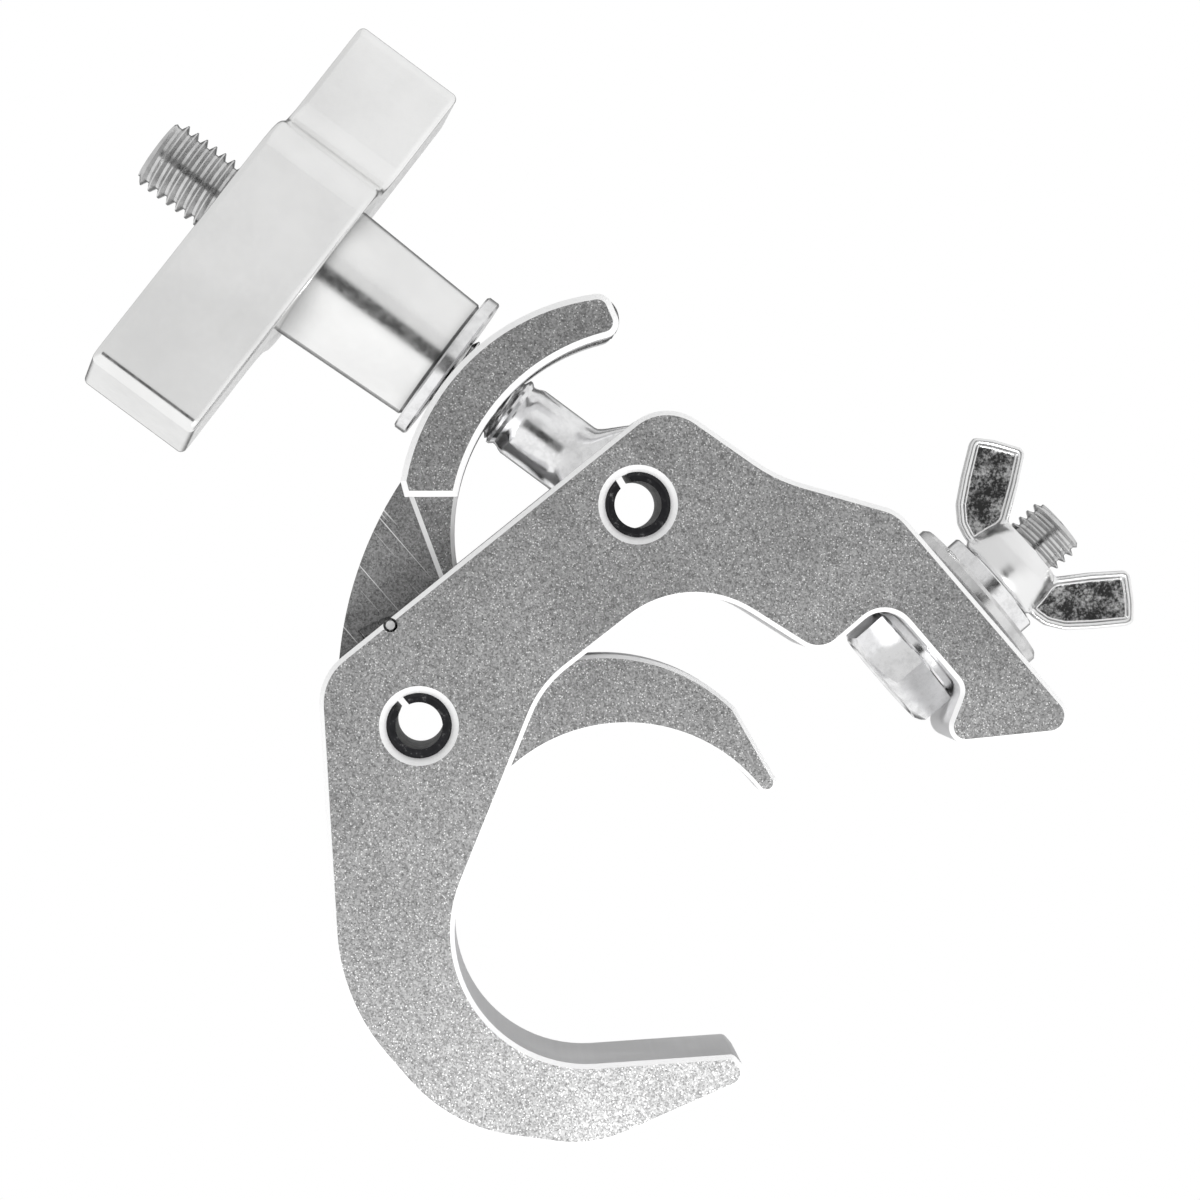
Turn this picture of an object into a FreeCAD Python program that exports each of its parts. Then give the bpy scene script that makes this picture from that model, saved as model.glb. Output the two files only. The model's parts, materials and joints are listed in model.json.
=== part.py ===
import FreeCAD, Part
import math
import os

# Quick-trigger hook clamp that hangs a light fixture from a 48 to 51 mm tube.
#
# Frame: the origin is on the axis of the gripped tube, in the middle of the clamp's thickness.
# +Y runs along the tube, +Z is up when the clamp hangs, and the fixture bolt points along -Z.
# Outlines lie in the XZ plane. All dimensions are in millimetres.

# ---------------------------------------------------------------- driving dimensions

BODY_THICKNESS = 30.0
SLOT_WIDTH = 15.0
EDGE_CHAMFER = 0.7
ARM_CHAMFER = 0.9
ARM_TIP_RADIUS = 2.4
JAW_CHAMFER = 0.6

EYE_PIVOT = (44.7, -40.6)
TRIGGER_PIVOT = (41.0, 6.8)

PIN_RADIUS = 5.0
PIN_BORE_RADIUS = 3.6
PIN_LENGTH = 29.0
PIN_SLIT = 2.0
PIN_END_CHAMFER = 0.5
EYE_PIN_TURN_DEG = 10.0
PIN_HOLE_CHAMFER = 1.1
RUNNING_CLEARANCE = 0.05

BLADE_THICKNESS = 14.4
TRIGGER_HUB_RADIUS = 13.0
TRIGGER_POCKET_RADIUS = 13.6
TUBE_JAW_RADIUS = 26.2
ARM_OUTER_CENTRE = (44.0, -37.6)
ARM_OUTER_RADIUS = 35.0
ARM_INNER_CENTRE = (39.5, -39.8)
ARM_INNER_RADIUS = 30.9
FORK_SLOT_WIDTH = 14.0
FORK_ROOT_OFFSET = 14.0
BLADE_RELIEF_DEPTH = 1.0
RIDGE_CHAMFER = 0.75

SPRING_WIRE_RADIUS = 0.7
SPRING_COIL_RADIUS = 8.0
SPRING_PLANE_Y = -6.2
SPRING_POCKET_DEPTH = 2.0
SPRING_NOTCH_RADIUS = 1.1
SPRING_NOTCH_REACH = 16.0
SPRING_FIXED_LEG_DEG = -25.0
SPRING_MOVING_LEG_DEG = 200.0
SPRING_SWEEP_DEG = 14.0

BOLT_TILT_DEG = 12.6
EYE_RADIUS = 12.4
EYE_THICKNESS = 14.0
EYE_POCKET_RADIUS = 13.0
BOLT_NECK_RADIUS = 6.9
SWING_BOLT_RADIUS = 6.0
SWING_BOLT_END = 92.5
SWING_BOLT_END_CHAMFER = 1.2
EYE_CHAMFER = 0.8
SWING_LIMIT_DEG = 80.0

THRUST_WASHER_START = 35.35
THRUST_WASHER_THICKNESS = 2.2
THRUST_WASHER_RADIUS = 12.5

BARREL_SMALL_RADIUS = 10.5
BARREL_LARGE_RADIUS = 11.6
BARREL_GAP = 0.05
BARREL_LENGTH = 22.85
BAR_WIDTH = 19.0
BAR_HALF_LENGTH = 37.4
BAR_FRONT_OFFSET = 14.0
BAR_BACK_OFFSET = 1.0
BAR_CREASE = 12.0
BAR_CORNER_RADIUS = 2.0
BAR_EDGE_RADIUS = 1.0
BAR_TURN_DEG = 18.0

FIXTURE_BOLT_X = -1.0
FIXTURE_BOLT_RADIUS = 5.0
FIXTURE_HOLE_RADIUS = 5.25
FIXTURE_BOLT_END_Z = -89.0
ARM_INNER_Z = -60.0
ARM_OUTER_Z = -70.2
SPOT_FACE_RADIUS = 9.3
HEAD_WASHER_RADIUS = 8.9
HEAD_WASHER_THICKNESS = 1.6
HEAD_ACROSS_FLATS = 17.0
HEAD_HEIGHT = 6.4
FIXTURE_WASHER_RADIUS = 13.2
FIXTURE_WASHER_THICKNESS = 2.5
LOCK_WASHER_RADIUS = 8.8
LOCK_WASHER_THICKNESS = 2.6
WING_HUB_LENGTH = 7.6
WING_HUB_BASE_RADIUS = 7.3
WING_HUB_TOP_RADIUS = 6.2
WING_THICKNESS = 3.6
WING_WEB_RECESS = 0.5
WING_RIM_WIDTH = 1.1
WING_CHAMFER = 0.6
WASHER_PLAY = 0.3
STACK_GAP = 0.05
SPLIT_WIDTH = 1.0

# ---------------------------------------------------------------- geometry helpers


def at(point, y=0.0):
    """An XZ outline point as a vector at depth y."""
    return FreeCAD.Vector(point[0], y, point[1])


def on_circle(centre, radius, degrees):
    """The XZ point at an angle on a circle, measured from +X towards +Z."""
    angle = math.radians(degrees)
    return (centre[0] + radius * math.cos(angle), centre[1] + radius * math.sin(angle))


def arc_edge(start, middle, end):
    return Part.Arc(at(start), at(middle), at(end)).toShape()


def line_edge(start, end):
    return Part.LineSegment(at(start), at(end)).toShape()


def extruded(edges, thickness):
    """A closed XZ outline made into a plate centred on the plane y = 0."""
    wire = Part.Wire(edges)
    wire.translate(FreeCAD.Vector(0, -thickness / 2, 0))
    return Part.Face(wire).extrude(FreeCAD.Vector(0, thickness, 0))


def rounded_edges(corners):
    """Straight runs between corners (x, z, radius), each corner rounded by a tangent arc."""
    runs = []
    for index, (x, z, radius) in enumerate(corners):
        before = corners[index - 1]
        after = corners[(index + 1) % len(corners)]
        corner = FreeCAD.Vector(x, 0, z)
        to_before = (at(before) - corner).normalize()
        to_after = (at(after) - corner).normalize()
        half_angle = to_before.getAngle(to_after) / 2
        setback = radius / math.tan(half_angle)
        inward = (to_before + to_after).normalize()
        middle = corner + inward * (radius / math.sin(half_angle) - radius)
        runs.append((corner + to_before * setback, middle, corner + to_after * setback))
    edges = []
    for index, (start, middle, end) in enumerate(runs):
        edges.append(Part.Arc(start, middle, end).toShape())
        following = runs[(index + 1) % len(runs)][0]
        if end.distanceToPoint(following) > 1e-6:
            edges.append(Part.LineSegment(end, following).toShape())
    return edges


def face_edges(solid, half_thickness):
    """The edges that lie in the two flat faces of a plate centred on y = 0."""
    found = []
    for edge in solid.Edges:
        box = edge.BoundBox
        flat = box.YMax - box.YMin < 1e-6
        if flat and abs(abs(box.YMin) - half_thickness) < 1e-6:
            found.append(edge)
    return found


def chamfered_plate(edges, thickness, size):
    plate = extruded(edges, thickness)
    return plate.makeChamfer(size, face_edges(plate, thickness / 2))


def cross_cylinder(point, radius, length, y_start=None):
    """A cylinder along Y through an XZ point, centred on y = 0 unless y_start is given."""
    start = -length / 2 if y_start is None else y_start
    return Part.makeCylinder(radius, length, at(point, start), FreeCAD.Vector(0, 1, 0))


def turned(profile, axis_point, axis):
    """A solid of revolution from a closed polygon of vectors."""
    wire = Part.makePolygon(profile + [profile[0]])
    return Part.Face(wire).revolve(axis_point, axis, 360)


def turned_z(profile, x):
    """A ring or disc turned about the vertical line at x, from (radius, z) points."""
    points = [FreeCAD.Vector(x + radius, 0, z) for radius, z in profile]
    return turned(points, FreeCAD.Vector(x, 0, 0), FreeCAD.Vector(0, 0, 1))


def turned_x(profile):
    """A piece turned about the X axis, from (x, radius) points."""
    points = [FreeCAD.Vector(x, 0, radius) for x, radius in profile]
    return turned(points, FreeCAD.Vector(0, 0, 0), FreeCAD.Vector(1, 0, 0))


def on_swing_bolt(solid):
    """Moves a piece drawn along +X from the eye's pivot to where the tilted bolt holds it."""
    placed = solid.copy()
    placed.rotate(FreeCAD.Vector(0, 0, 0), FreeCAD.Vector(0, 1, 0), -BOLT_TILT_DEG)
    placed.translate(at(EYE_PIVOT))
    return placed


# ---------------------------------------------------------------- clamp body


def body_edges():
    """The hooked outline: hook tip, hook, neck, shoulder, fixture arm, nose, pocket, throat."""
    return rounded_edges([
        (-28.6, 3.3, 1.2),
        (-33.5, 3.3, 2.4),
        (-25.6, 29.1, 20.0),
        (-8.8, 43.9, 26.0),
        (17.2, 43.9, 32.0),
        (56.8, 13.6, 9.0),
        (54.4, -54.4, 8.0),
        (34.0, -59.6, 24.0),
        (17.9, ARM_OUTER_Z, 7.0),
        (-26.7, ARM_OUTER_Z, 3.0),
        (-13.6, -51.5, 2.6),
        (-9.0, ARM_INNER_Z, 2.5),
        (8.7, ARM_INNER_Z, 4.5),
        (8.8, -46.6, 4.6),
        (31.7, -39.6, 16.0),
        (33.1, -11.4, 17.0),
        (3.6, 46.0, 20.3),
    ])


def slot_edges():
    """The slot between the cheeks, open to the throat on one side and outwards on the other."""
    pocket_start = on_circle(TRIGGER_PIVOT, TRIGGER_POCKET_RADIUS, 170)
    pocket_top = on_circle(TRIGGER_PIVOT, TRIGGER_POCKET_RADIUS, 110)
    pocket_end = on_circle(TRIGGER_PIVOT, TRIGGER_POCKET_RADIUS, 52)
    eye_start = on_circle(EYE_PIVOT, EYE_POCKET_RADIUS, 165)
    eye_middle = on_circle(EYE_PIVOT, EYE_POCKET_RADIUS, 215)
    stop_direction = math.radians(BOLT_TILT_DEG - SWING_LIMIT_DEG)
    stop_clearance = BOLT_NECK_RADIUS + 0.2
    stop_reach = math.sqrt(EYE_POCKET_RADIUS ** 2 - stop_clearance ** 2)
    along = FreeCAD.Vector(math.cos(stop_direction), 0, math.sin(stop_direction))
    across = FreeCAD.Vector(math.sin(stop_direction), 0, -math.cos(stop_direction))
    stop_start = at(EYE_PIVOT) + across * stop_clearance + along * stop_reach
    stop_end = stop_start + along * 25
    corners = [
        (stop_end.x, stop_end.z),
        (100.0, stop_end.z),
        (100.0, pocket_end[1] - 1.0),
        pocket_end,
    ]
    edges = [line_edge(corners[i], corners[i + 1]) for i in range(3)]
    edges.append(arc_edge(pocket_end, pocket_top, pocket_start))
    throat = [pocket_start, (10.0, pocket_start[1]), (10.0, eye_start[1]), eye_start]
    edges += [line_edge(throat[i], throat[i + 1]) for i in range(3)]
    stop_point = (stop_start.x, stop_start.z)
    edges.append(arc_edge(eye_start, eye_middle, stop_point))
    edges.append(line_edge(stop_point, corners[0]))
    return edges


def pin_hole(pivot):
    """A cross hole through both cheeks, chamfered where it breaks out."""
    half = BODY_THICKNESS / 2
    wide = PIN_RADIUS + PIN_HOLE_CHAMFER
    hole = cross_cylinder(pivot, PIN_RADIUS, BODY_THICKNESS + 2)
    for side in (-1, 1):
        cone = Part.makeCone(wide, PIN_RADIUS, PIN_HOLE_CHAMFER,
                             at(pivot, side * half), FreeCAD.Vector(0, -side, 0))
        hole = hole.fuse(cone)
    return hole


def spring_notch_point():
    """Where the spring's fixed leg crosses the edge of the front cheek."""
    return on_circle(TRIGGER_PIVOT, SPRING_NOTCH_REACH, SPRING_FIXED_LEG_DEG)


def clamp_body():
    body = chamfered_plate(body_edges(), BODY_THICKNESS, EDGE_CHAMFER)
    body = body.cut(extruded(slot_edges(), SLOT_WIDTH))
    for pivot in (EYE_PIVOT, TRIGGER_PIVOT):
        body = body.cut(pin_hole(pivot))
    up = FreeCAD.Vector(0, 0, 1)
    hole_start = FreeCAD.Vector(FIXTURE_BOLT_X, 0, ARM_OUTER_Z - 1)
    body = body.cut(Part.makeCylinder(FIXTURE_HOLE_RADIUS, 15, hole_start, up))
    seat_start = FreeCAD.Vector(FIXTURE_BOLT_X, 0, ARM_INNER_Z)
    body = body.cut(Part.makeCylinder(SPOT_FACE_RADIUS, 12, seat_start, up))
    notch = cross_cylinder(spring_notch_point(), SPRING_NOTCH_RADIUS, 10, -BODY_THICKNESS / 2 - 1)
    return body.cut(notch)


def roll_pin(pivot, turn_deg=0.0):
    """A slotted spring pin: a rolled tube whose open slit faces +X, turned towards -Z."""
    outer = cross_cylinder(pivot, PIN_RADIUS, PIN_LENGTH)
    outer = outer.makeChamfer(PIN_END_CHAMFER, face_edges(outer, PIN_LENGTH / 2))
    inner = cross_cylinder(pivot, PIN_BORE_RADIUS, PIN_LENGTH + 2)
    slit_corner = FreeCAD.Vector(pivot[0], -PIN_LENGTH / 2 - 1, pivot[1] - PIN_SLIT / 2)
    slit = Part.makeBox(PIN_RADIUS + 1, PIN_LENGTH + 2, PIN_SLIT, slit_corner)
    slit.rotate(at(pivot), FreeCAD.Vector(0, 1, 0), turn_deg)
    return outer.cut(inner).cut(slit)


# ---------------------------------------------------------------- trigger lever and its spring


def trigger_edges():
    """Fork arm, back of the blade, hub, crescent jaw and its upper edge."""
    arm_start = on_circle(ARM_OUTER_CENTRE, ARM_OUTER_RADIUS, 39)
    arm_middle = on_circle(ARM_OUTER_CENTRE, ARM_OUTER_RADIUS, 3)
    arm_end = on_circle(ARM_OUTER_CENTRE, ARM_OUTER_RADIUS, -30)
    tip_end = on_circle(ARM_INNER_CENTRE, ARM_INNER_RADIUS, -28.5)
    inner_middle = on_circle(ARM_INNER_CENTRE, ARM_INNER_RADIUS, 10)
    inner_end = on_circle(ARM_INNER_CENTRE, ARM_INNER_RADIUS, 61)
    jaw_tip = on_circle((0, 0), TUBE_JAW_RADIUS, -92)
    jaw_middle = on_circle((0, 0), TUBE_JAW_RADIUS, -45)
    jaw_end = on_circle((0, 0), TUBE_JAW_RADIUS, 4)
    hub_start = on_circle(TRIGGER_PIVOT, TRIGGER_HUB_RADIUS, 150)
    hub_top = on_circle(TRIGGER_PIVOT, TRIGGER_HUB_RADIUS, 95)
    hub_end = on_circle(TRIGGER_PIVOT, TRIGGER_HUB_RADIUS, 35)
    jaw_root = (33.5, -17.6)
    jaw_shoulder = (11.0, -31.7)
    jaw_nose = (-0.9, -29.4)
    return [
        arc_edge(arm_start, arm_middle, arm_end),
        arc_edge(arm_end, (70.0, -58.1), tip_end),
        arc_edge(tip_end, inner_middle, inner_end),
        arc_edge(inner_end, (44.0, -10.6), jaw_root),
        arc_edge(jaw_root, (23.6, -27.6), jaw_shoulder),
        line_edge(jaw_shoulder, jaw_nose),
        arc_edge(jaw_nose, (-2.6, -27.9), jaw_tip),
        arc_edge(jaw_tip, jaw_middle, jaw_end),
        line_edge(jaw_end, hub_start),
        arc_edge(hub_start, hub_top, hub_end),
        arc_edge(hub_end, (61.2, 4.4), arm_start),
    ]


def wide_arm():
    """The same arm above the step, where it spreads to the body's full thickness."""
    step_outer = on_circle(ARM_OUTER_CENTRE, ARM_OUTER_RADIUS, 39.2)
    step_corner = (68.9, -14.4)
    step_inner = on_circle(ARM_INNER_CENTRE, ARM_INNER_RADIUS, 38.6)
    outer_middle = on_circle(ARM_OUTER_CENTRE, ARM_OUTER_RADIUS, 3)
    outer_end = on_circle(ARM_OUTER_CENTRE, ARM_OUTER_RADIUS, -36)
    inner_start = on_circle(ARM_INNER_CENTRE, ARM_INNER_RADIUS, -32)
    inner_middle = on_circle(ARM_INNER_CENTRE, ARM_INNER_RADIUS, 10)
    plate = extruded([
        arc_edge(step_outer, outer_middle, outer_end),
        line_edge(outer_end, inner_start),
        arc_edge(inner_start, inner_middle, step_inner),
        line_edge(step_inner, step_corner),
        line_edge(step_corner, step_outer),
    ], BODY_THICKNESS)
    tip_corners = []
    for edge in plate.Edges:
        crosses = edge.BoundBox.YLength > BODY_THICKNESS / 2
        if crosses and edge.BoundBox.ZMax < outer_end[1] + 3:
            tip_corners.append(edge)
    plate = plate.makeFillet(ARM_TIP_RADIUS, tip_corners)
    return plate.makeChamfer(ARM_CHAMFER, face_edges(plate, BODY_THICKNESS / 2))


def sector(centre, inner_radius, outer_radius, from_deg, to_deg, y_start, depth):
    """A piece of an annulus, used for the spring's leg pockets."""
    middle_deg = (from_deg + to_deg) / 2
    outer = [on_circle(centre, outer_radius, a) for a in (from_deg, middle_deg, to_deg)]
    inner = [on_circle(centre, inner_radius, a) for a in (to_deg, middle_deg, from_deg)]
    edges = [
        arc_edge(*outer),
        line_edge(outer[2], inner[0]),
        arc_edge(*inner),
        line_edge(inner[2], outer[0]),
    ]
    wire = Part.Wire(edges)
    wire.translate(FreeCAD.Vector(0, y_start, 0))
    return Part.Face(wire).extrude(FreeCAD.Vector(0, depth, 0))


def ridged_blade(blade):
    """Mills the back of the blade down on each side, and chamfers the ridge that is left."""
    half_blade = BLADE_THICKNESS / 2
    ridge_start = (72.8, -16.44)
    ridge_end = (52.0, -8.7)
    corners = [ridge_start, ridge_end, (52.0, 18.0), (76.0, 18.0)]
    for side in (-1, 1):
        edges = [line_edge(corners[i - 1], corners[i]) for i in range(4)]
        wire = Part.Wire(Part.__sortEdges__(edges))
        wire.translate(FreeCAD.Vector(0, side * (half_blade - BLADE_RELIEF_DEPTH), 0))
        relief = Part.Face(wire).extrude(FreeCAD.Vector(0, side * BLADE_RELIEF_DEPTH * 2, 0))
        blade = blade.cut(relief)
    along = (at(ridge_end) - at(ridge_start)).normalize()
    ridges = []
    for edge in face_edges(blade, half_blade):
        offset = edge.CenterOfMass - at(ridge_start, edge.CenterOfMass.y)
        on_ridge = offset.cross(along).Length < 1e-6
        if on_ridge:
            ridges.append(edge)
    return blade.makeChamfer(RIDGE_CHAMFER, ridges)


def trigger_lever():
    half_blade = BLADE_THICKNESS / 2
    blade = extruded(trigger_edges(), BLADE_THICKNESS)
    jaw_rims = []
    for edge in face_edges(blade, half_blade):
        centre = edge.CenterOfMass
        if centre.x < TRIGGER_PIVOT[0] - 7 and centre.z < 3:
            jaw_rims.append(edge)
    blade = blade.makeChamfer(JAW_CHAMFER, jaw_rims)
    blade = ridged_blade(blade)
    lever = blade.fuse(wide_arm())

    # The fork slot lets the swing bolt pass; it is drawn square to the bolt.
    slot_corner = FreeCAD.Vector(15, -FORK_SLOT_WIDTH / 2, FORK_ROOT_OFFSET - 60)
    lever = lever.cut(on_swing_bolt(Part.makeBox(40, FORK_SLOT_WIDTH, 60, slot_corner)))

    hole_radius = PIN_RADIUS + RUNNING_CLEARANCE
    lever = lever.cut(cross_cylinder(TRIGGER_PIVOT, hole_radius, BODY_THICKNESS))

    # The counterbore holds the spring's coil, and two wide pockets leave its legs free.
    pocket_start = -half_blade - 0.1
    depth = SPRING_POCKET_DEPTH + 0.1
    coil_outer = SPRING_COIL_RADIUS + SPRING_WIRE_RADIUS + 0.5
    lever = lever.cut(cross_cylinder(TRIGGER_PIVOT, coil_outer, depth, pocket_start))
    for leg_deg, reach in ((SPRING_FIXED_LEG_DEG, 17.2), (SPRING_MOVING_LEG_DEG, 12.0)):
        pocket = sector(TRIGGER_PIVOT, PIN_RADIUS + 1, reach, leg_deg - SPRING_SWEEP_DEG - 4,
                        leg_deg + SPRING_SWEEP_DEG + 4, pocket_start, depth)
        lever = lever.cut(pocket)
    return lever


def trigger_spring():
    """One turn of round wire about the trigger pin, with a fixed leg hooked over the cheek."""
    coil_start = on_circle(TRIGGER_PIVOT, SPRING_COIL_RADIUS, SPRING_FIXED_LEG_DEG)
    coil_top = on_circle(TRIGGER_PIVOT, SPRING_COIL_RADIUS, 90)
    coil_end = on_circle(TRIGGER_PIVOT, SPRING_COIL_RADIUS, SPRING_MOVING_LEG_DEG)
    wire = Part.Wire([arc_edge(coil_start, coil_top, coil_end)])
    wire.translate(FreeCAD.Vector(0, SPRING_PLANE_Y, 0))
    tangent = math.radians(SPRING_FIXED_LEG_DEG + 90)
    normal = FreeCAD.Vector(math.cos(tangent), 0, math.sin(tangent))
    section = Part.Wire([Part.makeCircle(SPRING_WIRE_RADIUS, at(coil_start, SPRING_PLANE_Y), normal)])
    spring = wire.makePipeShell([section], True, True)

    def leg(from_point, to_point):
        start = at(from_point, SPRING_PLANE_Y)
        direction = at(to_point, SPRING_PLANE_Y) - start
        rod = Part.makeCylinder(SPRING_WIRE_RADIUS, direction.Length, start, direction)
        knee = Part.makeSphere(SPRING_WIRE_RADIUS, start)
        return rod.fuse(knee)

    notch = spring_notch_point()
    moving_end = on_circle(TRIGGER_PIVOT, 11.4, SPRING_MOVING_LEG_DEG)
    spring = spring.fuse(leg(coil_start, notch))
    spring = spring.fuse(leg(coil_end, moving_end))
    hook_length = BODY_THICKNESS / 2 - 0.4 + SPRING_PLANE_Y
    hook = cross_cylinder(notch, SPRING_WIRE_RADIUS, hook_length, SPRING_PLANE_Y - hook_length)
    return spring.fuse(hook).fuse(Part.makeSphere(SPRING_WIRE_RADIUS, at(notch, SPRING_PLANE_Y)))


# ---------------------------------------------------------------- swing bolt and T-handle


def eye_bolt():
    """Forged eye and shank; the thread is plain here, at its full diameter."""
    eye = cross_cylinder((0, 0), EYE_RADIUS, EYE_THICKNESS)
    eye = eye.makeChamfer(EYE_CHAMFER, face_edges(eye, EYE_THICKNESS / 2))
    radius = SWING_BOLT_RADIUS
    shank = turned_x([
        (8.0, 0),
        (8.0, radius),
        (SWING_BOLT_END - SWING_BOLT_END_CHAMFER, radius),
        (SWING_BOLT_END, radius - SWING_BOLT_END_CHAMFER),
        (SWING_BOLT_END, 0),
    ])
    shoulder = turned_x([(9.0, 0), (9.0, BOLT_NECK_RADIUS), (14.5, radius), (14.5, 0)])
    bolt = eye.fuse(shank).fuse(shoulder)
    bolt = bolt.cut(cross_cylinder((0, 0), PIN_RADIUS + RUNNING_CLEARANCE, EYE_THICKNESS + 4))
    return on_swing_bolt(bolt)


def thrust_washer():
    start = THRUST_WASHER_START
    end = start + THRUST_WASHER_THICKNESS
    bore = SWING_BOLT_RADIUS + WASHER_PLAY
    edge = 0.3
    return on_swing_bolt(turned_x([
        (start, bore),
        (end, bore),
        (end, THRUST_WASHER_RADIUS - edge),
        (end - edge, THRUST_WASHER_RADIUS),
        (start + edge, THRUST_WASHER_RADIUS),
        (start, THRUST_WASHER_RADIUS - edge),
    ]))


def bar_section():
    """The bar seen along the bolt: two wings set off to opposite sides of the hub."""
    front = -BAR_FRONT_OFFSET
    back = BAR_BACK_OFFSET
    half = BAR_HALF_LENGTH
    tip = BAR_CORNER_RADIUS
    return [
        (front, half, tip),
        (front, 1.0 - BAR_CREASE, 7.0),
        (-back, -5.0 - BAR_CREASE, 6.0),
        (-back, -half, tip),
        (-front, -half, tip),
        (-front, BAR_CREASE - 1.0, 7.0),
        (back, BAR_CREASE + 5.0, 6.0),
        (back, half, tip),
    ]


def t_handle():
    """Die-cast handle: a flat bar with two offset wings on a tapered barrel."""
    barrel_start = THRUST_WASHER_START + THRUST_WASHER_THICKNESS + BARREL_GAP
    bar_start = barrel_start + BARREL_LENGTH
    bar_end = bar_start + BAR_WIDTH
    wire = Part.Wire(rounded_edges(bar_section()))
    # The section is drawn with its depth along X; turn it so that its depth is along Y.
    bar = Part.Face(wire).extrude(FreeCAD.Vector(0, BAR_WIDTH, 0))
    bar.rotate(FreeCAD.Vector(0, 0, 0), FreeCAD.Vector(0, 0, 1), 90)
    bar.translate(FreeCAD.Vector(bar_end, 0, 0))
    rim = []
    for edge in bar.Edges:
        box = edge.BoundBox
        if box.XMax - box.XMin < 1e-6:
            rim.append(edge)
    bar = bar.makeFillet(BAR_EDGE_RADIUS, rim)
    barrel = turned_x([
        (barrel_start, 0),
        (barrel_start, BARREL_SMALL_RADIUS - 0.5),
        (barrel_start + 0.5, BARREL_SMALL_RADIUS),
        (bar_start + 3.0, BARREL_LARGE_RADIUS),
        (bar_start + 3.0, 0),
    ])
    bore_radius = SWING_BOLT_RADIUS + RUNNING_CLEARANCE
    bore = Part.makeCylinder(bore_radius, bar_end, FreeCAD.Vector(1, 0, 0), FreeCAD.Vector(1, 0, 0))
    handle = bar.fuse(barrel).cut(bore)
    handle.rotate(FreeCAD.Vector(0, 0, 0), FreeCAD.Vector(1, 0, 0), BAR_TURN_DEG)
    return on_swing_bolt(handle)


# ---------------------------------------------------------------- fixture bolt, washers, wing nut


def hexagon_z(across_flats, height, z, x):
    """A hexagonal prism whose corners point along Y and whose axis is vertical."""
    corner_radius = across_flats / math.sqrt(3)
    points = []
    for step in range(7):
        angle = math.radians(60 * step + 90)
        points.append(FreeCAD.Vector(x + corner_radius * math.cos(angle),
                                     corner_radius * math.sin(angle), z))
    return Part.Face(Part.makePolygon(points)).extrude(FreeCAD.Vector(0, 0, height))


def fixture_bolt():
    head_base = ARM_INNER_Z + HEAD_WASHER_THICKNESS
    head_top = head_base + HEAD_HEIGHT
    head = hexagon_z(HEAD_ACROSS_FLATS, HEAD_HEIGHT, head_base, FIXTURE_BOLT_X)
    corner_radius = HEAD_ACROSS_FLATS / math.sqrt(3)
    crown = turned_z([
        (0, head_base - 1),
        (corner_radius + 1, head_base - 1),
        (corner_radius + 1, head_top - 1.2),
        (HEAD_ACROSS_FLATS / 2 - 0.3, head_top),
        (0, head_top),
    ], FIXTURE_BOLT_X)
    radius = FIXTURE_BOLT_RADIUS
    shank = turned_z([
        (0, FIXTURE_BOLT_END_Z),
        (radius - 1.0, FIXTURE_BOLT_END_Z),
        (radius, FIXTURE_BOLT_END_Z + 1.0),
        (radius, head_base),
        (0, head_base),
    ], FIXTURE_BOLT_X)
    return head.common(crown).fuse(shank)


def ring_z(inner_radius, outer_radius, z_low, z_high, edge):
    """A flat washer about the fixture bolt, with its outer edges broken."""
    return turned_z([
        (inner_radius, z_low),
        (outer_radius - edge, z_low),
        (outer_radius, z_low + edge),
        (outer_radius, z_high - edge),
        (outer_radius - edge, z_high),
        (inner_radius, z_high),
    ], FIXTURE_BOLT_X)


def lock_washer(z_low, z_high):
    """A split spring washer: a square-section ring with one slanted cut."""
    ring = ring_z(FIXTURE_BOLT_RADIUS + 0.2, LOCK_WASHER_RADIUS, z_low, z_high, 0.2)
    split = Part.makeBox(12, SPLIT_WIDTH, 12, FreeCAD.Vector(0, -SPLIT_WIDTH / 2, -6))
    split.rotate(FreeCAD.Vector(0, 0, 0), FreeCAD.Vector(1, 0, 0), 30)
    split.rotate(FreeCAD.Vector(0, 0, 0), FreeCAD.Vector(0, 0, 1), 160)
    split.translate(FreeCAD.Vector(FIXTURE_BOLT_X, 0, (z_low + z_high) / 2))
    return ring.cut(split)


def wing_edges(side, inset):
    """One wing of the nut seen from the side, from its root to its flared tip."""
    corners = [
        (3.0 + inset, -0.8 - inset, 0.8),
        (11.4 - inset, -1.0 - inset, 4.0),
        (19.3 - inset, -11.9 + inset / 2, 1.4),
        (12.0, -17.2 + inset, 1.4),
        (5.2 + inset, -6.8, 1.6),
        (3.0 + inset, -6.0, 0.8),
    ]
    return rounded_edges([(side * x, z, radius) for x, z, radius in corners])


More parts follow.
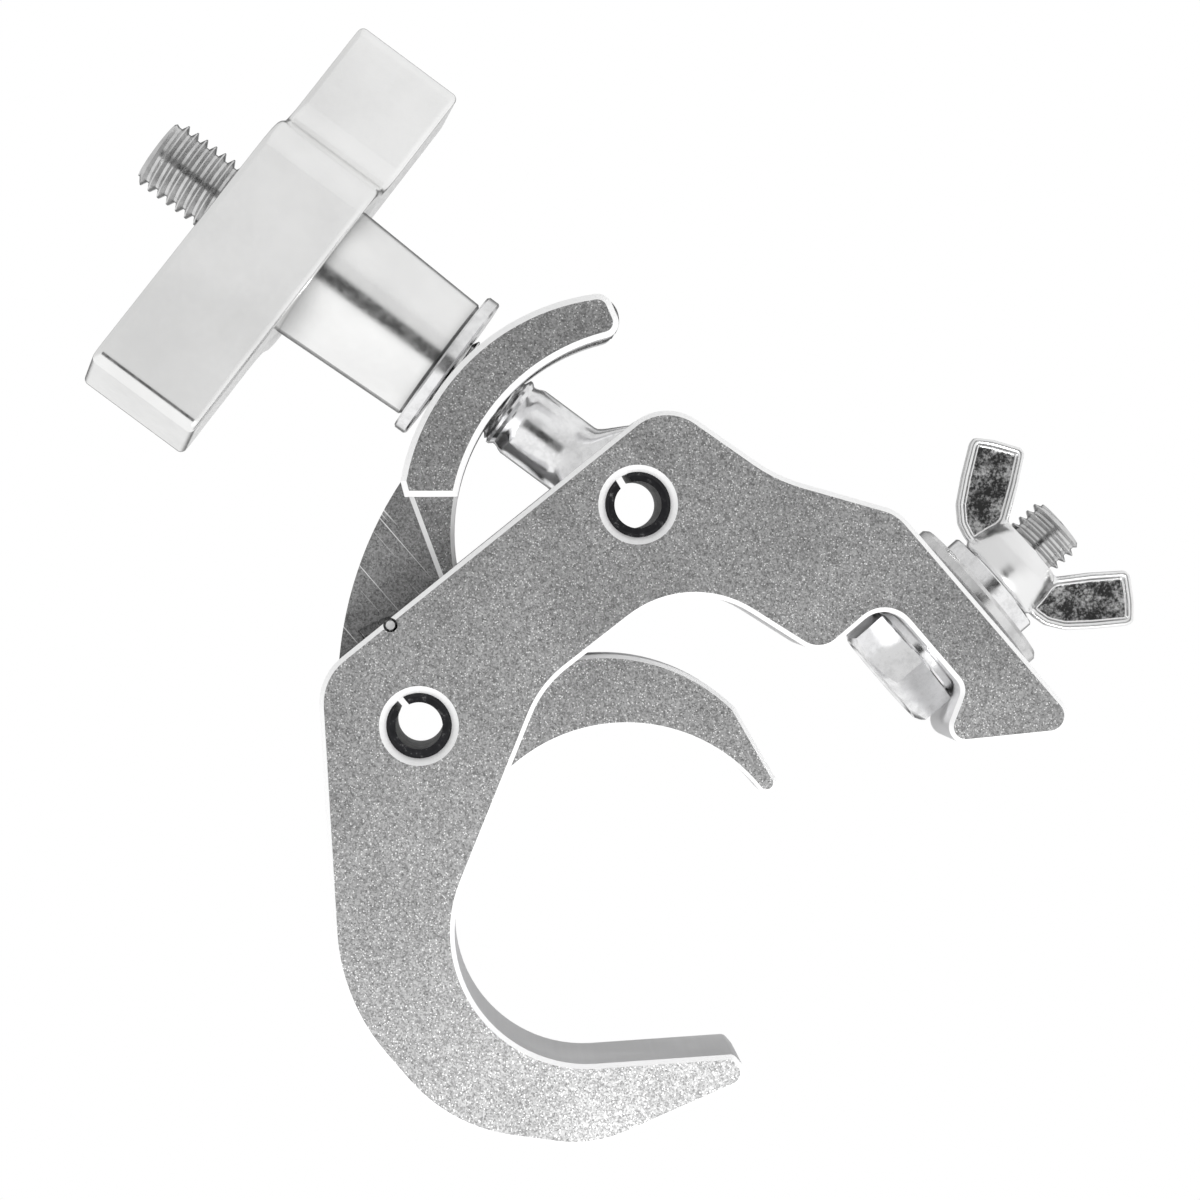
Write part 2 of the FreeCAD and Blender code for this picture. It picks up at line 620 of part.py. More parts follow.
def wing_nut(z_base):
    """Cast wing nut; each wing has a shallow web inside a raised rim."""
    hub = turned_z([
        (0, z_base),
        (WING_HUB_BASE_RADIUS, z_base),
        (WING_HUB_BASE_RADIUS, z_base - 1.2),
        (WING_HUB_TOP_RADIUS, z_base - WING_HUB_LENGTH),
        (0, z_base - WING_HUB_LENGTH),
    ], 0.0)
    nut = hub
    for side in (-1, 1):
        wing = chamfered_plate(wing_edges(side, 0.0), WING_THICKNESS, WING_CHAMFER)
        wing.translate(FreeCAD.Vector(0, 0, z_base))
        for face in (-1, 1):
            wire = Part.Wire(wing_edges(side, WING_RIM_WIDTH))
            depth = WING_THICKNESS / 2 - WING_WEB_RECESS
            wire.translate(FreeCAD.Vector(0, face * depth, z_base))
            web = Part.Face(wire).extrude(FreeCAD.Vector(0, face * WING_WEB_RECESS * 2, 0))
            wing = wing.cut(web)
        nut = nut.fuse(wing)
    bore = Part.makeCylinder(FIXTURE_BOLT_RADIUS + RUNNING_CLEARANCE, WING_HUB_LENGTH + 12,
                             FreeCAD.Vector(0, 0, z_base - WING_HUB_LENGTH - 11))
    nut = nut.cut(bore)
    nut.translate(FreeCAD.Vector(FIXTURE_BOLT_X, 0, 0))
    return nut


# ---------------------------------------------------------------- assembly


def build():
    """Every piece of the clamp, by the name of its file."""
    washer_low = ARM_OUTER_Z - FIXTURE_WASHER_THICKNESS
    lock_high = washer_low - STACK_GAP
    lock_low = lock_high - LOCK_WASHER_THICKNESS
    nut_base = lock_low - STACK_GAP
    return {
        "clamp_body": clamp_body(),
        "trigger_pin": roll_pin(TRIGGER_PIVOT),
        "eye_bolt_pin": roll_pin(EYE_PIVOT, EYE_PIN_TURN_DEG),
        "trigger_lever": trigger_lever(),
        "trigger_spring": trigger_spring(),
        "eye_bolt": eye_bolt(),
        "thrust_washer": thrust_washer(),
        "t_handle": t_handle(),
        "fixture_bolt": fixture_bolt(),
        "bolt_head_washer": ring_z(FIXTURE_BOLT_RADIUS + WASHER_PLAY, HEAD_WASHER_RADIUS,
                                   ARM_INNER_Z, ARM_INNER_Z + HEAD_WASHER_THICKNESS, 0.3),
        "fixture_washer": ring_z(FIXTURE_BOLT_RADIUS + WASHER_PLAY, FIXTURE_WASHER_RADIUS,
                                 washer_low, ARM_OUTER_Z, 0.6),
        "lock_washer": lock_washer(lock_low, lock_high),
        "wing_nut": wing_nut(nut_base),
    }


os.makedirs("parts", exist_ok=True)
for node, shape in build().items():
    solid = shape.removeSplitter()
    solid.exportStep(os.path.join("parts", node + ".step"))
    print(node, solid.ShapeType, len(solid.Solids), "valid" if solid.isValid() else "INVALID",
          "volume %.0f" % solid.Volume)
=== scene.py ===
import json
import math

import bmesh
import bpy
from mathutils import Matrix, Vector


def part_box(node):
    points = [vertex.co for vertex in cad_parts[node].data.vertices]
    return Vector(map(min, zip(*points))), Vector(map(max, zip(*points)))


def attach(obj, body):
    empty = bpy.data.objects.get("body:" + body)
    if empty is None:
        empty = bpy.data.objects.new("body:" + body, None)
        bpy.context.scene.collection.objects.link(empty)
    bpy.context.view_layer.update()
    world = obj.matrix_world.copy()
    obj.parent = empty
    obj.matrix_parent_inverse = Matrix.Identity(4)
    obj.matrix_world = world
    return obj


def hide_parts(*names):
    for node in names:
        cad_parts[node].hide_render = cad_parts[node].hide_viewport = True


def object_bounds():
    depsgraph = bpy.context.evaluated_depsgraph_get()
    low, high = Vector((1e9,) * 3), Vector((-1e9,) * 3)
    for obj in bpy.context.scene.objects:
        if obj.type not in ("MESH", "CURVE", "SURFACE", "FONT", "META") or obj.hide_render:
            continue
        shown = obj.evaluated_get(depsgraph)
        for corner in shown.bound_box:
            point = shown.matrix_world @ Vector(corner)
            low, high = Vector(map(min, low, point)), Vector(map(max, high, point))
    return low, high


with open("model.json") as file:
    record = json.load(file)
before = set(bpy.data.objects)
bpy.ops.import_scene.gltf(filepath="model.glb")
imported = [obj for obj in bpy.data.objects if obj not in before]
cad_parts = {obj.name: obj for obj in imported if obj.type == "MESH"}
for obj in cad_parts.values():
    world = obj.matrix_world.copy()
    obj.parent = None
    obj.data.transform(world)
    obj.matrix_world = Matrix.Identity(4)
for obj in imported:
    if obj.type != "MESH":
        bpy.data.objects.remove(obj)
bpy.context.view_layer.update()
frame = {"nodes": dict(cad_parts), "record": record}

# ---------------------------------------------------------------- clamp body and trigger lever
# The hook and the lever are slices sawn from extruded aluminium bar, milled, then tumbled in
# stone media. Tumbling leaves a fine speckle on the flats, with painted glints among it, and a
# polished line on each broken edge, painted near white as a highlight; the extruded side walls
# stay smoother, with faint die lines across the thickness.

# Colours are linear; the two faces are the depths of the lever's blade and its milled recess.
ALUMINIUM = (0.295, 0.295, 0.295, 1.0)
ALUMINIUM_EDGE_HIGHLIGHT = (0.97, 0.97, 0.97, 1.0)
ALUMINIUM_WALL = (0.72, 0.72, 0.725, 1.0)
GLINT_AND_MARK_WHITE = (0.80, 0.80, 0.80, 1.0)
RECESS_FACE = 0.0062
BLADE_FACE = 0.0072


def new_group(name, inputs, outputs):
    """An empty shader node group with float, colour or vector sockets."""
    group = bpy.data.node_groups.new(name, "ShaderNodeTree")
    for label, kind, value in inputs:
        socket = group.interface.new_socket(label, in_out="INPUT", socket_type=kind)
        if value is not None:
            socket.default_value = value
    for label, kind in outputs:
        group.interface.new_socket(label, in_out="OUTPUT", socket_type=kind)
    return group


def math_node(tree, operation, first, second=None, clamp=False):
    """A Math node whose inputs are sockets or plain numbers; returns its output."""
    node = tree.nodes.new("ShaderNodeMath")
    node.operation = operation
    node.use_clamp = clamp
    for slot, value in enumerate((first, second)):
        if value is None:
            continue
        if isinstance(value, (int, float)):
            node.inputs[slot].default_value = value
        else:
            tree.links.new(value, node.inputs[slot])
    return node.outputs[0]


def map_range(tree, value, low, high, to_low=0.0, to_high=1.0):
    """Remaps a value with soft ends; by default it becomes a mask from zero to one."""
    node = tree.nodes.new("ShaderNodeMapRange")
    node.interpolation_type = "SMOOTHSTEP"
    tree.links.new(value, node.inputs["Value"])
    node.inputs["From Min"].default_value = low
    node.inputs["From Max"].default_value = high
    node.inputs["To Min"].default_value = to_low
    node.inputs["To Max"].default_value = to_high
    return node.outputs["Result"]


def noise(tree, vector, scale, detail=2.0, roughness=0.5):
    node = tree.nodes.new("ShaderNodeTexNoise")
    tree.links.new(vector, node.inputs["Vector"])
    node.inputs["Scale"].default_value = scale
    node.inputs["Detail"].default_value = detail
    node.inputs["Roughness"].default_value = roughness
    return node.outputs["Fac"]


def stretched(tree, vector, scale, turn=(0.0, 0.0, 0.0)):
    """Texture space turned and stretched, so that a noise in it becomes lines."""
    node = tree.nodes.new("ShaderNodeMapping")
    tree.links.new(vector, node.inputs["Vector"])
    node.inputs["Rotation"].default_value = turn
    node.inputs["Scale"].default_value = scale
    return node.outputs["Vector"]


def mix_colour(tree, factor, first, second):
    node = tree.nodes.new("ShaderNodeMix")
    node.data_type = "RGBA"
    tree.links.new(factor, node.inputs["Factor"])
    for name, value in (("A", first), ("B", second)):
        socket = [s for s in node.inputs if s.name == name and s.type == "RGBA"][0]
        if isinstance(value, tuple):
            socket.default_value = value
        else:
            tree.links.new(value, socket)
    return [s for s in node.outputs if s.type == "RGBA"][0]


def facing_group():
    """Masks from which way the surface faces across the clamp: flats, broken edges, walls."""
    group = new_group("facing", [], [("Flat", "NodeSocketFloat"), ("Edge", "NodeSocketFloat")])
    geometry = group.nodes.new("ShaderNodeNewGeometry")
    split = group.nodes.new("ShaderNodeSeparateXYZ")
    group.links.new(geometry.outputs["True Normal"], split.inputs[0])
    across = math_node(group, "ABSOLUTE", split.outputs["Y"])
    flat = map_range(group, across, 0.90, 0.97)
    not_wall = map_range(group, across, 0.35, 0.55)
    edge = math_node(group, "SUBTRACT", not_wall, flat, clamp=True)
    out = group.nodes.new("NodeGroupOutput")
    group.links.new(flat, out.inputs["Flat"])
    group.links.new(edge, out.inputs["Edge"])
    return group


def speckle_group():
    """Tumbled metal: pits of random tone, a few painted glints, and broad soft mottling."""
    group = new_group(
        "tumbled_speckle",
        [("Vector", "NodeSocketVector", None), ("Pit Scale", "NodeSocketFloat", 4600.0)],
        [("Pits", "NodeSocketFloat"), ("Painted Glints", "NodeSocketFloat"),
         ("Mottle", "NodeSocketFloat")],
    )
    source = group.nodes.new("NodeGroupInput")
    cells = group.nodes.new("ShaderNodeTexVoronoi")
    group.links.new(source.outputs["Vector"], cells.inputs["Vector"])
    group.links.new(source.outputs["Pit Scale"], cells.inputs["Scale"])
    random_tone = group.nodes.new("ShaderNodeSeparateColor")
    group.links.new(cells.outputs["Color"], random_tone.inputs["Color"])
    broad = noise(group, source.outputs["Vector"], 1700.0, 3.0, 0.7)
    cell_share = math_node(group, "MULTIPLY", random_tone.outputs["Red"], 0.72)
    broad_share = math_node(group, "MULTIPLY", map_range(group, broad, 0.3, 0.7), 0.28)
    mottle = noise(group, source.outputs["Vector"], 55.0, 4.0, 0.6)
    out = group.nodes.new("NodeGroupOutput")
    group.links.new(math_node(group, "ADD", cell_share, broad_share), out.inputs["Pits"])
    # Painted glints: a few cells become bright points standing in for facets that catch the
    # light.
    chosen = map_range(group, random_tone.outputs["Green"], 0.92, 0.95)
    core = map_range(group, cells.outputs["Distance"], 0.35, 0.60, 1.0, 0.0)
    group.links.new(math_node(group, "MULTIPLY", chosen, core), out.inputs["Painted Glints"])
    group.links.new(map_range(group, mottle, 0.3, 0.7), out.inputs["Mottle"])
    return group


FACING = facing_group()
SPECKLE = speckle_group()


def placed(tree, group):
    """Puts a node group into a material's tree."""
    node = tree.nodes.new("ShaderNodeGroup")
    node.node_tree = group
    return node


def new_material(name):
    """A material with its Principled shader and the object's own coordinates."""
    material = bpy.data.materials.new(name)
    material.use_nodes = True
    tree = material.node_tree
    shader = tree.nodes["Principled BSDF"]
    coordinates = tree.nodes.new("ShaderNodeTexCoord").outputs["Object"]
    return material, tree, shader, coordinates


def bump(tree, shader, height, strength, distance):
    """Raises the shader's surface by a height map."""
    node = tree.nodes.new("ShaderNodeBump")
    node.inputs["Strength"].default_value = strength
    node.inputs["Distance"].default_value = distance
    tree.links.new(height, node.inputs["Height"])
    tree.links.new(node.outputs["Normal"], shader.inputs["Normal"])


def shade(colour, share):
    """A colour made darker or lighter by a share."""
    return tuple(share * channel for channel in colour[:3]) + (1.0,)


def tumbled_aluminium(name, tone):
    """Tumbled flats of a given tone, bright broken edges and smooth extruded walls."""
    material, tree, shader, where = new_material(name)
    facing = placed(tree, FACING)
    speckle = placed(tree, SPECKLE)
    tree.links.new(where, speckle.inputs["Vector"])
    dark = shade(ALUMINIUM, 0.45 * tone)
    light = shade(ALUMINIUM, 1.60 * tone)
    flat_colour = mix_colour(tree, speckle.outputs["Pits"], dark, light)
    # Painted glints: the chosen speckle cells are painted near white.
    glint_share = math_node(tree, "MULTIPLY", speckle.outputs["Painted Glints"], 0.85)
    flat_colour = mix_colour(tree, glint_share, flat_colour, GLINT_AND_MARK_WHITE)
    die_lines = noise(tree, stretched(tree, where, (900.0, 12.0, 900.0)), 1.0, 2.0)
    wall_colour = mix_colour(tree, die_lines, ALUMINIUM_WALL, shade(ALUMINIUM_WALL, 1.12))
    colour = mix_colour(tree, facing.outputs["Flat"], wall_colour, flat_colour)
    # Painted highlight: broken edges are painted near white.
    colour = mix_colour(tree, facing.outputs["Edge"], colour, ALUMINIUM_EDGE_HIGHLIGHT)
    tree.links.new(colour, shader.inputs["Base Color"])

    # Painted highlight: a broken edge, a row of tiny facets, is painted near white with little
    # metal.
    metal = map_range(tree, facing.outputs["Edge"], 0.0, 1.0, 1.0, 0.25)
    tree.links.new(metal, shader.inputs["Metallic"])
    rough_flat = map_range(tree, speckle.outputs["Mottle"], 0.0, 1.0, 0.40, 0.50)
    tree.links.new(rough_flat, shader.inputs["Roughness"])
    bump(tree, shader, speckle.outputs["Pits"], 0.30, 0.00005)
    return material, tree, shader, where, colour


def milled_blade():
    """The lever's finish: painted shade from the cheeks darkens its blade, and the recess carries
    bright cutter marks.
    """
    material, tree, shader, where, colour = tumbled_aluminium("tumbled_lever", 0.94)
    split = tree.nodes.new("ShaderNodeSeparateXYZ")
    tree.links.new(where, split.inputs[0])
    depth = math_node(tree, "ABSOLUTE", split.outputs["Y"])
    # Painted shade from the cheeks: the blade face below the arms and behind the jaw is darkened
    # towards black.
    below_arm = map_range(tree, depth, BLADE_FACE, BLADE_FACE + 0.0003, 1.0, 0.0)
    behind_jaw = map_range(tree, split.outputs["X"], 0.042, 0.052)
    cheek_shade = math_node(tree, "MULTIPLY", below_arm, behind_jaw)
    cheek_shade_share = math_node(tree, "MULTIPLY", cheek_shade, 0.18)
    colour = mix_colour(tree, cheek_shade_share, colour, (0.02, 0.02, 0.02, 1.0))
    recess = map_range(tree, depth, RECESS_FACE + 0.0002, RECESS_FACE + 0.0005, 1.0, 0.0)
    lines = noise(tree, stretched(tree, where, (45.0, 300.0, 2400.0), (0.0, 0.12, 0.0)), 1.0, 1.0)
    milled = math_node(tree, "MULTIPLY", recess, placed(tree, FACING).outputs["Flat"])
    cutter_marks = math_node(tree, "MULTIPLY", map_range(tree, lines, 0.66, 0.74), milled)
    colour = mix_colour(tree, cutter_marks, colour, GLINT_AND_MARK_WHITE)
    tree.links.new(colour, shader.inputs["Base Color"])
    return material


def dress(node, material):
    """Gives a carried-over CAD piece its finish."""
    obj = frame["nodes"][node]
    obj.data.materials.clear()
    obj.data.materials.append(material)
    return obj


dress("clamp_body", tumbled_aluminium("tumbled_body", 1.0)[0])
dress("trigger_lever", milled_blade())

# ---------------------------------------------------------------- roll pins
# Two slotted spring pins rolled from strip, hardened and blackened, driven flush into the
# cheeks. The oxide is matt, with steel grinning through where the rims were knocked.


def black_oxide():
    """Matt black with a steel glint where it has worn."""
    material, tree, shader, where = new_material("black_oxide")
    shader.inputs["Metallic"].default_value = 0.85
    wear = noise(tree, where, 900.0, 4.0, 0.7)
    colour = mix_colour(tree, map_range(tree, wear, 0.55, 0.75), (0.018, 0.018, 0.020, 1.0),
                        (0.16, 0.16, 0.16, 1.0))
    tree.links.new(colour, shader.inputs["Base Color"])
    tree.links.new(map_range(tree, wear, 0.2, 0.8, 0.30, 0.55), shader.inputs["Roughness"])
    bump(tree, shader, wear, 0.3, 0.00008)
    return material


BLACK_OXIDE = black_oxide()
for pin in ("trigger_pin", "eye_bolt_pin"):
    dress(pin, BLACK_OXIDE)

# ---------------------------------------------------------------- swing bolt
# A forged steel eye bolt: a flat eye flares into a smooth shank, a short neck follows, and an M12
# thread is rolled on the rest. Bright zinc plate; the eye turns on its pin between the cheeks.

EYE_RADIUS = 0.0124
EYE_HALF_THICKNESS = 0.0070
EYE_HOLE_RADIUS = 0.00505
SHANK_RADIUS = 0.00597
FLARE = 0.0030
M12_CREST = 0.00596
M12_ROOT = 0.00493
M12_PITCH = 0.00175
M12_START = 0.0244
M12_END = 0.0924
NECK = ((0.0217, 0.00597), (0.0222, 0.00582), (0.0227, 0.00556), (0.0232, 0.00541),
        (0.0235, 0.00541), (0.0241, 0.00590), (0.0245, 0.00590), (0.0250, 0.00480))
AROUND = 64
ISO_PROFILE = ((0.0, True), (0.125, True), (0.4375, False), (0.6875, False))


def zinc_plate(name, base, roughness):
    """Bright zinc: a rippled mirror with faint blushes and short handling marks."""
    material, tree, shader, where = new_material(name)
    shader.inputs["Metallic"].default_value = 1.0
    blush = noise(tree, where, 420.0, 4.0, 0.65)
    ripple = noise(tree, where, 260.0, 2.0, 0.5)
    marks = noise(tree, stretched(tree, where, (30.0, 30.0, 2200.0), (0.2, 0.5, 0.1)), 1.0, 2.0)
    dull = shade(base, 0.84)
    tree.links.new(mix_colour(tree, map_range(tree, blush, 0.38, 0.68), base, dull),
                   shader.inputs["Base Color"])
    tree.links.new(map_range(tree, blush, 0.3, 0.7, roughness * 0.7, roughness * 1.5),
                   shader.inputs["Roughness"])
    height = math_node(tree, "ADD", ripple, math_node(tree, "MULTIPLY", marks, 0.12))
    bump(tree, shader, height, 0.30, 0.00010)
    return material


ZINC = zinc_plate("zinc_plate", (0.88, 0.88, 0.885, 1.0), 0.17)
ROLLED_THREAD = zinc_plate("rolled_thread", (0.66, 0.66, 0.66, 1.0), 0.20)


def mesh_piece(name, shape, material, sharp_degrees=35.0):
    """Turns a bmesh into an object with smooth faces and sharp edges where it folds."""
    bmesh.ops.remove_doubles(shape, verts=shape.verts, dist=2e-7)
    bmesh.ops.dissolve_degenerate(shape, edges=shape.edges, dist=2e-7)
    bmesh.ops.recalc_face_normals(shape, faces=shape.faces)
    mesh = bpy.data.meshes.new(name)
    shape.to_mesh(mesh)
    shape.free()
    mesh.shade_smooth()
    mesh.set_sharp_from_angle(angle=math.radians(sharp_degrees))
    mesh.materials.append(material)
    obj = bpy.data.objects.new(name, mesh)
    bpy.context.scene.collection.objects.link(obj)
    return obj


def with_modifiers_applied(obj):
    """Bakes an object's modifiers into its mesh."""
    graph = bpy.context.evaluated_depsgraph_get()
    mesh = bpy.data.meshes.new_from_object(obj.evaluated_get(graph))
    obj.modifiers.clear()
    obj.data = mesh
    return obj


def lofted(shape, sections, closed_ends=True):
    """Skins rings of points; every ring has the same number of points."""
    rings = [[shape.verts.new(point) for point in section] for section in sections]
    for near, far in zip(rings, rings[1:]):
        for index in range(len(near)):
            after = (index + 1) % len(near)
            shape.faces.new((near[index], near[after], far[after], far[index]))
    if closed_ends:
        shape.faces.new(reversed(rings[0]))
        shape.faces.new(rings[-1])


def circle_section(along, radius, points=AROUND):
    """A ring about the X axis."""
    section = []
    for index in range(points):
        angle = 2 * math.pi * index / points
        section.append((along, radius * math.cos(angle), radius * math.sin(angle)))
    return section


def add_thread(shape, start, end, pitch, crest, root):
    """A helical thread about the X axis, chamfered at both ends down to its root."""
    turns = math.ceil((end - start) / pitch) + 3
    rows = []
    for turn in range(turns):
        for offset, is_crest in ISO_PROFILE:
            row = []
            for index in range(AROUND):
                along = start + pitch * (turn - 1 + offset + index / AROUND)
                along = min(max(along, start), end)
                radius = crest if is_crest else root
                radius = min(radius, root + along - start, root + end - along)
                angle = 2 * math.pi * index / AROUND
                row.append(shape.verts.new(
                    (along, radius * math.cos(angle), radius * math.sin(angle))))
            rows.append(row)
    for index in range(AROUND):
        for k in range(len(rows) - 5):
            if index + 1 < AROUND:
                right, right_next = rows[k][index + 1], rows[k + 1][index + 1]
            else:
                right, right_next = rows[k + 4][0], rows[k + 5][0]
            shape.faces.new((rows[k][index], right, right_next, rows[k + 1][index]))
    bmesh.ops.remove_doubles(shape, verts=shape.verts, dist=2e-7)
    bmesh.ops.dissolve_degenerate(shape, edges=shape.edges, dist=2e-7)
    open_edges = [edge for edge in shape.edges if edge.is_boundary]
    bmesh.ops.holes_fill(shape, edges=open_edges, sides=0)
    loose = [vert for vert in shape.verts if not vert.link_faces]
    bmesh.ops.delete(shape, geom=loose, context="VERTS")


def smooth_step(value, low, high):
    share = min(max((value - low) / (high - low), 0.0), 1.0)
    return share * share * (3 - 2 * share)


def smooth_larger(first, second, width):
    """The larger of two lengths, rounded where they cross."""
    overlap = max(width - abs(first - second), 0.0) / width
    return max(first, second) + overlap * overlap * width / 4


def eye_section(along):
    """The forged end's section: boxy at the eye, round at the shank."""
    eye_half = math.sqrt(max(EYE_RADIUS ** 2 - along ** 2, 0.0))
    if along < 0:
        half_width = eye_half
    else:
        half_width = smooth_larger(eye_half, SHANK_RADIUS, FLARE)
        half_width += (SHANK_RADIUS - half_width) * smooth_step(along, 0.012, 0.016)
    to_shank = smooth_step(along, 0.0088, 0.0150)
    half_depth = EYE_HALF_THICKNESS + (SHANK_RADIUS - EYE_HALF_THICKNESS) * to_shank
    power = 2.0 / (7.0 - 5.0 * smooth_step(along, 0.0070, 0.0140))
    section = []
    for index in range(AROUND):
        angle = 2 * math.pi * index / AROUND
        across, up = math.cos(angle), math.sin(angle)
        section.append((along,
                        math.copysign(abs(across) ** power, across) * half_depth,
                        math.copysign(abs(up) ** power, up) * half_width))
    return section


joints = {joint["name"]: joint for joint in frame["record"]["behaviour"]["joints"]}
eye_pivot = Vector(joints["bolt_swing"]["pos_m"])
bolt_axis = -Vector(joints["handle_travel"]["axis"])


def axis_frame(origin, axis):
    """Places a piece drawn along +X so that X lies on an axis in the XZ plane."""
    side = Vector((0.0, 1.0, 0.0))
    turn = Matrix((axis, side, axis.cross(side))).transposed().to_4x4()
    return Matrix.Translation(origin) @ turn


shape = bmesh.new()
round_end = [-EYE_RADIUS * math.cos(math.radians(4 * step)) for step in range(23)]
flare_run = [0.00045 * step for step in range(1, 48)]
stations = [along for along in round_end + flare_run if along < NECK[0][0]]
sections = [eye_section(along) for along in stations]
sections += [circle_section(along, radius) for along, radius in NECK]
lofted(shape, sections)
forging = mesh_piece("swing_bolt", shape, ZINC)
shape = bmesh.new()
lofted(shape, [circle_section(-0.02, EYE_HOLE_RADIUS), circle_section(0.02, EYE_HOLE_RADIUS)])
hole_cutter = mesh_piece("hole_cutter", shape, ZINC)
hole_cutter.rotation_euler = (0.0, 0.0, math.radians(90))
cut = forging.modifiers.new("pin_hole", "BOOLEAN")
cut.operation = "DIFFERENCE"
cut.object = hole_cutter
with_modifiers_applied(forging)
bpy.data.objects.remove(hole_cutter)
forging.data.transform(axis_frame(eye_pivot, bolt_axis))

shape = bmesh.new()
add_thread(shape, M12_START, M12_END, M12_PITCH, M12_CREST, M12_ROOT)
shape.transform(axis_frame(eye_pivot, bolt_axis))
swing_thread = mesh_piece("swing_bolt_thread", shape, ROLLED_THREAD, 25.0)

for piece in (forging, swing_thread):
    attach(piece, "swing_bolt")
    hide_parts("eye_bolt")

# ---------------------------------------------------------------- thrust washer and T-handle
# A turned washer spreads the handle's push over the lever's fork. The handle is a zinc die
# casting, a bar with a tapered barrel, under a pale satin plate.


def satin_plate(name, base, roughness):
    """A soft even plate, slightly cloudy, with painted shade darkening it where a corner shelters
    it.
    """
    material, tree, shader, where = new_material(name)
    shader.inputs["Metallic"].default_value = 1.0
    cloud = noise(tree, where, 48.0, 5.0, 0.6)
    skin = noise(tree, where, 900.0, 3.0, 0.6)
    dull = shade(base, 0.90)
    plate = mix_colour(tree, map_range(tree, cloud, 0.3, 0.7), base, dull)
    # Painted shade: the colour turns dark grey where ambient occlusion finds a corner close by.
    corner = tree.nodes.new("ShaderNodeAmbientOcclusion")
    corner.inputs["Distance"].default_value = 0.008
    painted_corner_shade = map_range(tree, corner.outputs["AO"], 0.35, 0.95, 0.75, 0.0)
    tree.links.new(mix_colour(tree, painted_corner_shade, plate, (0.18, 0.18, 0.18, 1.0)),
                   shader.inputs["Base Color"])
    tree.links.new(map_range(tree, skin, 0.3, 0.7, roughness * 0.85, roughness * 1.15),
                   shader.inputs["Roughness"])
    height = math_node(tree, "ADD", cloud, math_node(tree, "MULTIPLY", skin, 0.03))
    bump(tree, shader, height, 0.25, 0.00010)
    return material


dress("thrust_washer", ZINC)
dress("t_handle", satin_plate("satin_plate", (0.94, 0.94, 0.935, 1.0), 0.20))

# ---------------------------------------------------------------- fixture bolt and its washers
# An M10 hexagon bolt, head down in the arm's pocket on a thin washer. Outside the arm a thick
# flat washer and a split lock washer sit under the nut. All are bright zinc-plated steel.

HEAD_ACROSS_FLATS = 0.0170
HEAD_BASE = -0.0016
HEAD_TOP = -0.0080
HEAD_CROWN_RADIUS = 0.0080
HEAD_TURN_DEG = 8.0
M10_CREST = 0.00496
M10_ROOT = 0.00408
M10_PITCH = 0.0015
M10_START = 0.0110
HEX_POINTS = 96

bolt_low, bolt_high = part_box("fixture_bolt")
seat_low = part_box("bolt_head_washer")[0]
bolt_seat = Vector(((bolt_low[0] + bolt_high[0]) / 2, 0.0, seat_low[2]))
m10_end = seat_low[2] - bolt_low[2]


def hexagon_section(along, shrink=0.0, crown=False):
    """One ring of the head; under the crown its corners drop away as the chamfer cuts them."""
    section = []
    for index in range(HEX_POINTS):
        angle = 2 * math.pi * index / HEX_POINTS
        from_flat = (index * 360.0 / HEX_POINTS) % 60.0 - 30.0
        radius = HEAD_ACROSS_FLATS / 2 / math.cos(math.radians(from_flat)) - shrink
        place = along
        if crown:
            place += max(radius - HEAD_CROWN_RADIUS, 0.0) * math.tan(math.radians(30))
        turned = angle + math.radians(HEAD_TURN_DEG)
        section.append((place, radius * math.cos(turned), radius * math.sin(turned)))
    return section


shape = bmesh.new()
lofted(shape, [
    circle_section(M10_START + 0.0006, M10_ROOT - 0.0001, HEX_POINTS),
    circle_section(M10_START, M10_CREST, HEX_POINTS),
    circle_section(HEAD_BASE, M10_CREST, HEX_POINTS),
    hexagon_section(HEAD_BASE, 0.0003),
    hexagon_section(HEAD_BASE - 0.0002),
    hexagon_section(HEAD_TOP, crown=True),
    circle_section(HEAD_TOP, HEAD_CROWN_RADIUS, HEX_POINTS),
    circle_section(HEAD_TOP, HEAD_CROWN_RADIUS - 0.0006, HEX_POINTS),
    circle_section(HEAD_TOP + 0.0003, HEAD_CROWN_RADIUS - 0.0012, HEX_POINTS),
])
shape.transform(axis_frame(bolt_seat, Vector((0.0, 0.0, -1.0))))
hex_bolt = mesh_piece("hex_bolt", shape, ZINC, 18.0)
shape = bmesh.new()
add_thread(shape, M10_START, m10_end, M10_PITCH, M10_CREST, M10_ROOT)
shape.transform(axis_frame(bolt_seat, Vector((0.0, 0.0, -1.0))))
hex_bolt_thread = mesh_piece("hex_bolt_thread", shape, ROLLED_THREAD, 25.0)
for piece in (hex_bolt, hex_bolt_thread):
    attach(piece, "clamp")
    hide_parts("fixture_bolt")

for node in ("bolt_head_washer", "lock_washer"):
    dress(node, ZINC)
dress("fixture_washer", zinc_plate("washer_plate", (0.70, 0.70, 0.70, 1.0), 0.28))

# ---------------------------------------------------------------- wing nut
# A malleable iron casting: a barrel hub with two upswept wings, each a thin web inside a round
# rim. Barrel plating leaves the rims bright and the rough webs dark and mottled.

